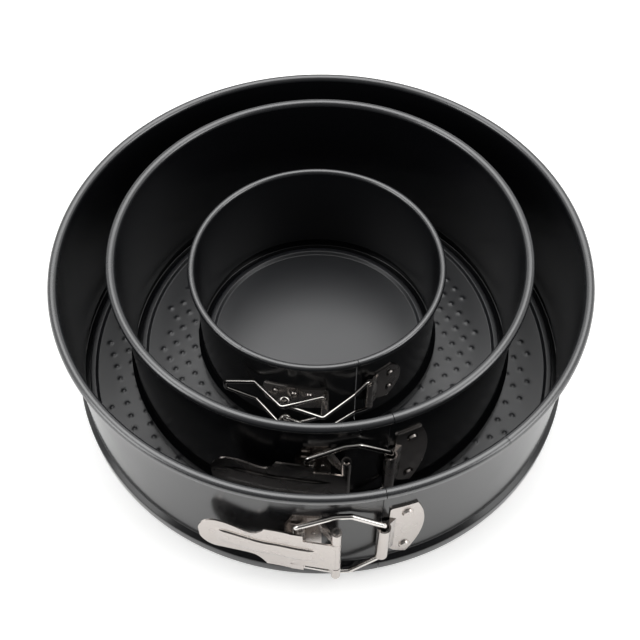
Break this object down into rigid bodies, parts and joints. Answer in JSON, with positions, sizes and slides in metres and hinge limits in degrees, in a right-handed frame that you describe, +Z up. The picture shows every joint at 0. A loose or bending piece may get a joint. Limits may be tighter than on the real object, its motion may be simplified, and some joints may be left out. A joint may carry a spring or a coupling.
{
  "type": "nesting springform pan set",
  "caption": "Round springform cake pans with black non-stick walls, rolled rims, dotted lift-out bases and side latches, nested one inside another.",
  "frame": {"origin": "on the ground under the large pan's axis, at the underside of its lip", "axes": "+Z up along the pans' axes, -Y toward the side with the latches, +X to the right seen from that side"},
  "size_m": [0.2384, 0.2435, 0.0753],
  "materials": {
    "coated_steel": "satin black non-stick coating",
    "nickel_plate": "bright nickel-plated pressed steel",
    "steel_wire": "bright plated wire",
    "dark_wire": "plain steel rim wire inside the rolled rim"
  },
  "bodies": {
    "large_ring": {"large_band_left": "coated_steel", "large_rim_wire_left": "dark_wire", "large_bracket_rivets": "nickel_plate", "large_lever_bracket": "nickel_plate", "large_lever_pin": "steel_wire"},
    "large_ring_end": {"large_band_right": "coated_steel", "large_rim_wire_right": "dark_wire", "large_hinge_plate": "nickel_plate", "large_hinge_plate_rivets": "nickel_plate"},
    "large_lever": {"large_lever": "nickel_plate"},
    "large_link": {"large_wire_link": "steel_wire"},
    "large_base": {"large_base": "coated_steel", "large_base_ridge": "coated_steel"},
    "medium_ring": {"medium_band_left": "coated_steel", "medium_rim_wire_left": "dark_wire", "medium_bracket_rivets": "nickel_plate", "medium_lever_bracket": "nickel_plate", "medium_lever_pin": "steel_wire"},
    "medium_ring_end": {"medium_band_right": "coated_steel", "medium_rim_wire_right": "dark_wire", "medium_hinge_plate": "nickel_plate", "medium_hinge_plate_rivets": "nickel_plate"},
    "medium_lever": {"medium_lever": "nickel_plate"},
    "medium_link": {"medium_wire_link": "steel_wire"},
    "medium_base": {"medium_base": "coated_steel", "medium_base_ridge": "coated_steel"},
    "small_ring": {"small_band_left": "coated_steel", "small_rim_wire_left": "dark_wire", "small_bracket_rivets": "nickel_plate", "small_handle_bracket": "nickel_plate"},
    "small_ring_end": {"small_band_right": "coated_steel", "small_rim_wire_right": "dark_wire", "small_hinge_plate": "nickel_plate", "small_hinge_plate_rivets": "nickel_plate"},
    "small_handle": {"small_wire_handle": "steel_wire"},
    "small_link": {"small_wire_link": "steel_wire"},
    "small_base": {"small_base": "coated_steel", "small_base_ridge": "coated_steel"}
  },
  "joints": [
    {"name": "large_lever_pivot", "type": "hinge", "parent": "large_ring", "child": "large_lever", "pos_m": [0.00606, -0.1222, 0.0318], "axis": [0, 0, 1], "range_deg": [0, 75]},
    {"name": "large_ring_spread", "type": "hinge", "parent": "large_ring", "child": "large_ring_end", "pos_m": [0, 0.1192, 0.0318], "axis": [0, 0, 1], "range_deg": [0, 0.375]},
    {"name": "large_link_swing", "type": "hinge", "parent": "large_ring_end", "child": "large_link", "pos_m": [0.0251, -0.11637, 0.0318], "axis": [0, 0, 1], "range_deg": [0, 33]},
    {"name": "large_base_lift", "type": "slide", "parent": "large_ring", "child": "large_base", "axis": [0, 0, 1], "range_m": [0, 0.09]},
    {"name": "medium_pan_lift", "type": "slide", "parent": "large_base", "child": "medium_ring", "axis": [0, 0, 1], "range_m": [0, 0.1]},
    {"name": "medium_lever_pivot", "type": "hinge", "parent": "medium_ring", "child": "medium_lever", "pos_m": [0.01028, -0.09216, 0.03355], "axis": [0, 0, 1], "range_deg": [0, 14]},
    {"name": "medium_ring_spread", "type": "hinge", "parent": "medium_ring", "child": "medium_ring_end", "pos_m": [-0.0004, 0.0988, 0.03355], "axis": [0, 0, 1], "range_deg": [0, 0.07]},
    {"name": "medium_link_swing", "type": "hinge", "parent": "medium_ring_end", "child": "medium_link", "pos_m": [0.02888, -0.08477, 0.03355], "axis": [0, 0, 1], "range_deg": [0, 6.16]},
    {"name": "medium_base_lift", "type": "slide", "parent": "medium_ring", "child": "medium_base", "axis": [0, 0, 1], "range_m": [0, 0.09]},
    {"name": "small_pan_lift", "type": "slide", "parent": "medium_base", "child": "small_ring", "axis": [0, 0, 1], "range_m": [0, 0.1]},
    {"name": "small_handle_pivot", "type": "hinge", "parent": "small_ring", "child": "small_handle", "pos_m": [0.00159, -0.05395, 0.034], "axis": [0, 0, 1], "range_deg": [0, 30]},
    {"name": "small_ring_spread", "type": "hinge", "parent": "small_ring", "child": "small_ring_end", "pos_m": [-0.0019, 0.0652, 0.034], "axis": [0, 0, 1], "range_deg": [0, 0.18]},
    {"name": "small_link_swing", "type": "hinge", "parent": "small_ring_end", "child": "small_link", "pos_m": [0.02145, -0.04752, 0.034], "axis": [0, 0, 1], "range_deg": [0, 13.5]},
    {"name": "small_base_lift", "type": "slide", "parent": "small_ring", "child": "small_base", "axis": [0, 0, 1], "range_m": [0, 0.09]}
  ],
  "couplings": [
    {"joint": "large_ring_spread", "follows": "large_lever_pivot", "ratio": 0.005},
    {"joint": "large_link_swing", "follows": "large_lever_pivot", "ratio": 0.44},
    {"joint": "medium_ring_spread", "follows": "medium_lever_pivot", "ratio": 0.005},
    {"joint": "medium_link_swing", "follows": "medium_lever_pivot", "ratio": 0.44},
    {"joint": "small_ring_spread", "follows": "small_handle_pivot", "ratio": 0.006},
    {"joint": "small_link_swing", "follows": "small_handle_pivot", "ratio": 0.45}
  ]
}
